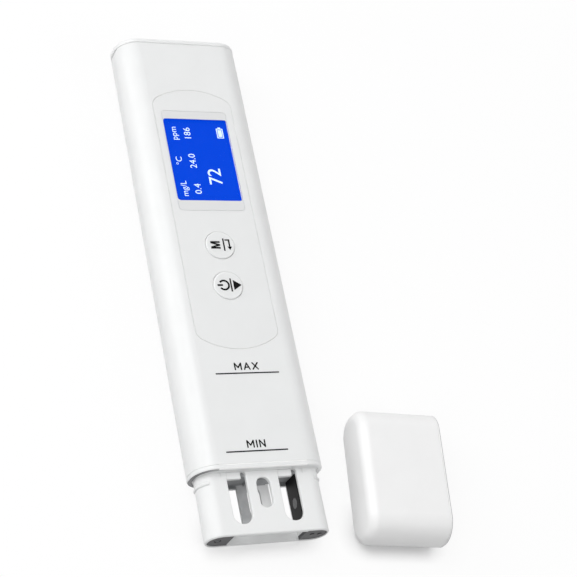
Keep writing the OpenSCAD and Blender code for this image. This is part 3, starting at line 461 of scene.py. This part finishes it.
# One finish for each slot of the record
FINISHES = {
    "white_shell": moulded("shell_white", WHITE, 0.36, shade=0.012, **GLOSS, **SOFT),
    "panel": panel_material(),
    "window": window_material(),
    "display": screen_material(),
    "backlight": moulded("backlight_milk", rgb(240, 238, 226), 0.5),
    "light_plastic": moulded("plastic_light", rgb(206, 207, 209), 0.45, shade=0.03),
    "grey_frame": moulded("frame_grey", rgb(150, 152, 154), 0.55),
    "amber_film": moulded("film_amber", rgb(196, 128, 52), 0.25, grain=2400),
    "black_plastic": moulded("plastic_black", rgb(8, 8, 9), 0.5, shade=0.25, **DULL),
    "switch_metal": metal("switch_plate", rgb(196, 197, 198), 0.34),
    "orange_plastic": moulded("plunger_orange", rgb(214, 112, 48), 0.5),
    "board": board_material(),
    "chip": moulded("chip_black", rgb(42, 43, 46), 0.5, grain=9000, shade=0.15),
    "tan_ceramic": moulded("ceramic_tan", rgb(186, 158, 122), 0.5, shade=0.12),
    "ivory_plastic": moulded("plastic_ivory", rgb(232, 226, 202), 0.45),
    "lead_red": moulded("lead_jacket", rgb(186, 34, 32), 0.4),
    "steel": metal("screw_steel", rgb(202, 203, 205), 0.3),
    "spring_steel": metal("contact_nickel", rgb(216, 214, 208), 0.22),
    "cell_wrap": cell_material(),
    "grey_rubber": moulded("rubber_grey", rgb(74, 75, 78), 0.62, shade=0.1),
    "leg_seal": moulded("seal_dark", rgb(70, 71, 73), 0.5, grain=1500, depth=0.08 * MM, shade=0.4),
    "clear_lens": clear_material("lens_clear", rgb(38, 42, 48), 0.12),
    "lamp_clear": clear_material("lamp_clear", rgb(214, 208, 236), 0.1),
    "gold_can": metal("can_gold", rgb(222, 190, 110), 0.28),
    "black_pin": moulded("pin_graphite", rgb(38, 38, 40), 0.4, shade=0.2),
}

# Pieces whose look differs from that of their slot
OWN_FINISHES = {
    "body_sleeve": sleeve_material(),
    # Painted shade on the core within the chamber's depth, and in the housing's chamber with painted light from the
    # plastic
    "probe_core": chamber_material("core_painted_shade", EVERYWHERE),
    "probe_housing": chamber_material("housing_painted_shade", CHAMBER_HALF_WIDTH, fade=6 * MM, right=0.15, glow=(0.1, 0.2)),
    "protective_cap": cap_material(),
    "temperature_probe": metal("probe_tip", rgb(104, 106, 108), 0.42),
}

for row in frame["record"]["subparts"]:
    mesh = nodes[row["node"]].data
    mesh.materials.clear()
    mesh.materials.append(OWN_FINISHES.get(row["node"], FINISHES[row["material_slot"]]))


# Printed marks


def placed(name, data):
    """A new object in the scene."""
    obj = bpy.data.objects.new(name, data)
    bpy.context.scene.collection.objects.link(obj)
    return obj


def polygon_mesh(name, loops, z):
    """Printed plates on height z, one for each outline in millimetres about (0, 0)."""
    verts, faces = [], []
    for loop in loops:
        base, count = len(verts), len(loop)
        verts += [(x * MM, y * MM, z - SINK) for x, y in loop]
        verts += [(x * MM, y * MM, z + PRINT_T) for x, y in loop]
        faces.append(tuple(range(base + count - 1, base - 1, -1)))
        faces.append(tuple(range(base + count, base + 2 * count)))
        for i in range(count):
            j = (i + 1) % count
            faces.append((base + i, base + j, base + count + j, base + count + i))
    mesh = bpy.data.meshes.new(name)
    mesh.from_pydata(verts, [], faces)
    mesh.validate()
    return mesh


def text_mesh(name, words, z):
    """Printed lettering turned a quarter left, as one mesh. A word is (letters, x, y, height in mm, weight)."""
    height_share = 0.72  # a capital's height in the font's size
    turn = Matrix.Rotation(math.radians(90), 4, "Z")
    verts, faces = [], []
    for letters, x, y, height, weight in words:
        curve = bpy.data.curves.new(name, "FONT")
        curve.body = letters
        curve.size = height * MM / height_share
        curve.align_x, curve.align_y = "CENTER", "BOTTOM_BASELINE"
        curve.extrude = (PRINT_T + SINK) / 2
        curve.offset = weight * MM
        curve.resolution_u = 3
        holder = placed(name, curve)
        bpy.context.view_layer.update()
        shaped = holder.evaluated_get(bpy.context.evaluated_depsgraph_get())
        made = bpy.data.meshes.new_from_object(shaped)
        made.transform(Matrix.Translation((x * MM, y * MM, z + (PRINT_T - SINK) / 2)) @ turn)
        base = len(verts)
        verts += [v.co.copy() for v in made.vertices]
        faces += [tuple(base + i for i in p.vertices) for p in made.polygons]
        bpy.data.objects.remove(holder)
    whole = bpy.data.meshes.new(name)
    whole.from_pydata(verts, [], faces)
    whole.validate()
    return whole


def piece(name, mesh, material, body):
    """A shown piece that rides on a body, with the given finish."""
    obj = placed(name, mesh)
    mesh.materials.clear()
    mesh.materials.append(material)
    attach(obj, body)


def bar(x0, y0, x1, y1, width):
    """Outline of a straight bar between two points."""
    dx, dy = x1 - x0, y1 - y0
    long = math.hypot(dx, dy)
    nx, ny = -dy / long * width / 2, dx / long * width / 2
    return [(x0 - nx, y0 - ny), (x1 - nx, y1 - ny), (x1 + nx, y1 + ny), (x0 + nx, y0 + ny)]


def arc_band(cx, cy, radius, width, start, end, steps=40):
    """Outline of a ring's part between two angles in degrees."""
    outer, inner = [], []
    for i in range(steps + 1):
        a = math.radians(start + (end - start) * i / steps)
        outer.append((cx + (radius + width / 2) * math.cos(a), cy + (radius + width / 2) * math.sin(a)))
        inner.append((cx + (radius - width / 2) * math.cos(a), cy + (radius - width / 2) * math.sin(a)))
    return outer + inner[::-1]


def disc(cx, cy, radius, sides=12):
    """Outline of a small disc."""
    turns = [2 * math.pi * i / sides for i in range(sides)]
    return [(cx + radius * math.cos(a), cy + radius * math.sin(a)) for a in turns]


# Capital letters as strokes: the width in shares of the height, then lines in shares of the width and height
LETTERS = {
    "M": (0.95, [[(0, 0), (0, 1), (0.5, 0.3), (1, 1), (1, 0)]]),
    "A": (0.85, [[(0, 0), (0.5, 1), (1, 0)], [(0.2, 0.33), (0.8, 0.33)]]),
    "X": (0.8, [[(0, 0), (1, 1)], [(0, 1), (1, 0)]]),
    "I": (0.0, [[(0, 0), (0, 1)]]),
    "N": (0.75, [[(0, 0), (0, 1), (1, 0), (1, 1)]]),
}


def word_strokes(word, middle_x, base_y, height=2.1, stroke=0.41, space=1.0):
    """Outlines of a word in round-jointed strokes, centred on middle_x, with its foot on base_y."""
    widths = [LETTERS[letter][0] * height for letter in word]
    x = middle_x - (sum(widths) + space * (len(word) - 1)) / 2
    loops = []
    for letter, width in zip(word, widths):
        for line in LETTERS[letter][1]:
            points = [(x + u * width, base_y + v * height) for u, v in line]
            loops += [bar(*a, *b, stroke) for a, b in zip(points, points[1:])]
            loops += [disc(*p, stroke / 2) for p in points]
        x += width + space
    return loops


black_ink = ink("ink_black", rgb(8, 8, 9))
dark_ink = ink("ink_dark", rgb(34, 35, 37))
lit_ink = ink("screen_figures", rgb(196, 216, 250), rough=0.4, glow=0.5)

# Button marks in millimetres about each button's middle, read with the battery cap to the right
LETTER_M = [
    (-3.2, 0.6), (-1.2, 0.0), (-3.2, -0.6), (-3.2, -1.32), (-0.05, -1.32), (-0.05, -0.72), (-1.8, -0.72),
    (-0.05, -0.24), (-0.05, 0.24), (-1.8, 0.72), (-0.05, 0.72), (-0.05, 1.32), (-3.2, 1.32),
]
MODE_MARK = [
    LETTER_M,
    bar(1.2, -2.1, 1.2, 2.3, 0.46),
    bar(1.7, 1.75, 3.3, 1.75, 0.46),
    bar(3.05, 1.6, 3.05, -0.75, 0.5),
    [(2.3, -0.6), (3.05, -1.8), (3.8, -0.6)],
]
POWER_MARK = [
    arc_band(-1.35, 0, radius=1.56, width=0.6, start=-143, end=143),
    bar(-3.55, 0, -1.8, 0, 0.62),
    bar(0.95, -2.25, 0.95, 2.3, 0.46),
    [(1.75, -1.75), (4.4, 0), (1.75, 1.75)],
]
for name, loops, (lo, hi), body in (
    ("mode_mark", MODE_MARK, (mode_lo, mode_hi), "mode_key"),
    ("power_mark", POWER_MARK, (power_lo, power_hi), "power_key"),
):
    middle_y = (lo[1] + hi[1]) / 2 / MM
    moved = [[(x, y + middle_y) for x, y in loop] for loop in loops]
    piece(name, polygon_mesh(name, moved, hi[2]), black_ink, body)

# Level marks on the sleeve, in millimetres
LEVEL_LINES = [bar(-9.6, -44.8, 11.0, -44.8, width=0.42), bar(-11.0, -69.9, 8.7, -69.9, width=0.42)]
LEVEL_WORDS = word_strokes("MAX", 0.7, -43.6) + word_strokes("MIN", -1.1, -68.7)
for name, loops, material in (("level_lines", LEVEL_LINES, dark_ink), ("level_words", LEVEL_WORDS, black_ink)):
    piece(name, polygon_mesh(name, loops, front_z), material, "tester")

# Figures and battery sign on the lit screen, in millimetres, read with the battery cap to the right
SCREEN_WORDS = [
    ("mg/L", -6.75, 19.9, 2.1, 0.0),
    ("°C", -6.75, 30.2, 2.1, 0.0),
    ("ppm", -6.75, 40.5, 2.1, 0.0),
    ("0.4", -2.1, 19.9, 2.3, 0.0),
    ("24.0", -2.1, 30.2, 2.3, 0.0),
    ("186", -2.1, 40.5, 2.3, 0.0),
    ("72", 5.6, 24.5, 4.6, 0.02),
]
BATTERY = [
    bar(7.2, 39.2, 7.2, 42.6, 0.3),
    bar(9.2, 39.2, 9.2, 42.6, 0.3),
    bar(7.05, 39.2, 9.35, 39.2, 0.3),
    bar(7.05, 42.6, 9.35, 42.6, 0.3),
    bar(8.2, 42.7, 8.2, 43.2, 0.9),
    bar(8.2, 39.6, 8.2, 42.2, 1.3),
]
for name, mesh in (
    ("screen_figures", text_mesh("screen_figures", SCREEN_WORDS, screen_z)),
    ("screen_battery", polygon_mesh("screen_battery", BATTERY, screen_z)),
):
    piece(name, mesh, lit_ink, "tester")


# Floor, light and camera

FLOOR_HALF = 1.6
FLOOR_Z = -0.2 * MM
FLOOR_GLOW = 0.88  # share of pure white that the camera sees
FLOOR_GREY, FLOOR_BOUNCE = 0.95, 0.5  # the floor's grey to the camera, and to the light that bounces off it

# The floor turns fully white this far from the middle over that length, and nearly so under the chamber, where painted
# light takes out the probe's shadow
WHITE_FROM, WHITE_OVER = 0.14, 0.3
UNDER_CHAMBER = {"cx": 0, "cy": -81 * MM, "half_x": 14 * MM, "half_y": 11 * MM, "radius": 4 * MM, "soft": 5 * MM}
UNDER_CHAMBER_LIGHT = 0.9

# The shadow close to what touches the floor: how much of the glow it takes away, how far it reaches, and the Y
# below which it grows, over that length
CONTACT = 1.6
CONTACT_REACH = 5.5 * MM
CONTACT_Y, CONTACT_OVER = -82 * MM, 16 * MM

# The middle of the tester, where the lamps look
AIM = Vector((0, -0.01, 0.008))


def floor_piece():
    """A pale floor that shows white to the camera and keeps the soft shadow."""
    half, z = FLOOR_HALF, FLOOR_Z
    mesh = bpy.data.meshes.new("floor")
    corners = [(-half, -half, z), (half, -half, z), (half, half, z), (-half, half, z)]
    mesh.from_pydata(corners, [], [(0, 1, 2, 3)])
    obj = placed("floor", mesh)
    s = Shader("floor_white")
    set_values(s.bsdf, {"Roughness": 0.55, "Specular IOR Level": 0.2})
    rays = s.add("ShaderNodeLightPath").outputs
    s.feed("Base Color", s.mix(rays["Is Camera Ray"], grey(FLOOR_BOUNCE), grey(FLOOR_GREY)))
    seen = s.math("MAXIMUM", rays["Is Camera Ray"], rays["Is Glossy Ray"])
    seen = s.math("MAXIMUM", seen, rays["Is Transmission Ray"])

    # Painted light under the chamber, where the slots look through to it, takes out the probe's shadow; the floor is
    # also whiter far away
    chamber = inside_rect(s, **UNDER_CHAMBER)
    away = s.add("ShaderNodeVectorMath", operation="LENGTH")
    s.link(s.where, away.inputs[0])
    far = s.rise(away.outputs["Value"], WHITE_FROM, WHITE_OVER)
    white = s.math("MAXIMUM", s.math("MULTIPLY", chamber, UNDER_CHAMBER_LIGHT), far)

    # The glow gives way to the shadow close to the near ends of the probe and the loose cap
    near = s.add("ShaderNodeAmbientOcclusion", samples=8)
    near.inputs["Distance"].default_value = CONTACT_REACH
    by_end = s.math("DIVIDE", s.math("SUBTRACT", CONTACT_Y, s.axes()[1]), CONTACT_OVER, clamp=True)
    hidden = s.math("SUBTRACT", 1.0, near.outputs["AO"])
    contact = s.product(hidden, by_end, s.math("SUBTRACT", 1.0, chamber))
    lost = s.math("MULTIPLY", contact, CONTACT)
    shown = s.math("SUBTRACT", s.spread(white, FLOOR_GLOW, 1.0), lost, clamp=True)

    mix = s.add("ShaderNodeMixShader")
    s.link(s.math("MULTIPLY", seen, shown), mix.inputs[0])
    s.link(s.bsdf.outputs[0], mix.inputs[1])
    s.link(s.add("ShaderNodeEmission").outputs[0], mix.inputs[2])
    s.link(mix.outputs[0], s.out.inputs[0])
    mesh.materials.append(s.material)


def world_light(strength, from_below, from_above):
    """Pale surroundings, white to the camera. The two shares scale the light that comes from -Y and from +Y."""
    world = bpy.data.worlds.new("surroundings")
    bpy.context.scene.world = world
    world.use_nodes = True
    tree = world.node_tree
    back = tree.nodes["Background"]
    rays = tree.nodes.new("ShaderNodeLightPath").outputs
    seen = tree.nodes.new("ShaderNodeMath")
    seen.operation = "MAXIMUM"
    tree.links.new(rays["Is Camera Ray"], seen.inputs[0])
    tree.links.new(rays["Is Transmission Ray"], seen.inputs[1])
    way = tree.nodes.new("ShaderNodeSeparateXYZ")
    tree.links.new(tree.nodes.new("ShaderNodeTexCoord").outputs["Generated"], way.inputs[0])
    slope = tree.nodes.new("ShaderNodeMapRange")
    set_values(slope, {"From Min": -1, "From Max": 1})
    set_values(slope, {"To Min": strength * from_below, "To Max": strength * from_above})
    tree.links.new(way.outputs[1], slope.inputs["Value"])
    amount = tree.nodes.new("ShaderNodeMapRange")
    amount.inputs["To Max"].default_value = 1.0
    tree.links.new(slope.outputs["Result"], amount.inputs["To Min"])
    tree.links.new(seen.outputs[0], amount.inputs["Value"])
    tree.links.new(amount.outputs["Result"], back.inputs["Strength"])
    back.inputs["Color"].default_value = grey(1.0)


def softbox(name, direction, distance, size, watts):
    """A rectangular lamp that looks at the middle of the tester."""
    lamp = bpy.data.lights.new(name, "AREA")
    lamp.shape, lamp.size, lamp.size_y = "RECTANGLE", size[0], size[1]
    lamp.energy = watts
    obj = placed(name, lamp)
    way = Vector(direction).normalized()
    obj.location = AIM + way * distance
    obj.rotation_mode = "QUATERNION"
    obj.rotation_quaternion = way.to_track_quat("Z", "Y")


# Each lamp's name, direction, distance and size in metres, and watts
LAMPS = [
    ("key", (-0.81, 0.42, 0.4), 0.9, (0.5, 0.6), 2.5),
    ("top", (-0.36, 0.2, 0.83), 1.1, (0.7, 0.5), 3.9),
    ("fill", (0.8, -0.5, 0.6), 1.2, (0.7, 0.6), 2.7),
    ("front", (-0.6, -0.55, 0.6), 1.1, (0.6, 0.6), 2.0),
]
floor_piece()
world_light(strength=0.63, from_below=0.4, from_above=1.1)
for lamp in LAMPS:
    softbox(*lamp)

# The camera's place, turn in degrees and focal length come from fitting the tester's outline in the photograph
CAMERA_PLACE = (-0.18901, -0.23340, 0.43626)
CAMERA_TURN = (29.5913, -20.8040, -11.9152)
FOCAL_PX, PHOTO_PX = 1655.0, 577.0
SENSOR_MM = 36.0
camera = bpy.data.cameras.new("camera")
camera.sensor_width = SENSOR_MM
camera.lens = FOCAL_PX * SENSOR_MM / PHOTO_PX
camera.clip_start = 0.05
view = placed("camera", camera)
view.location = CAMERA_PLACE
view.rotation_euler = [math.radians(angle) for angle in CAMERA_TURN]
bpy.context.scene.camera = view
bpy.context.scene.view_settings.view_transform = "Standard"
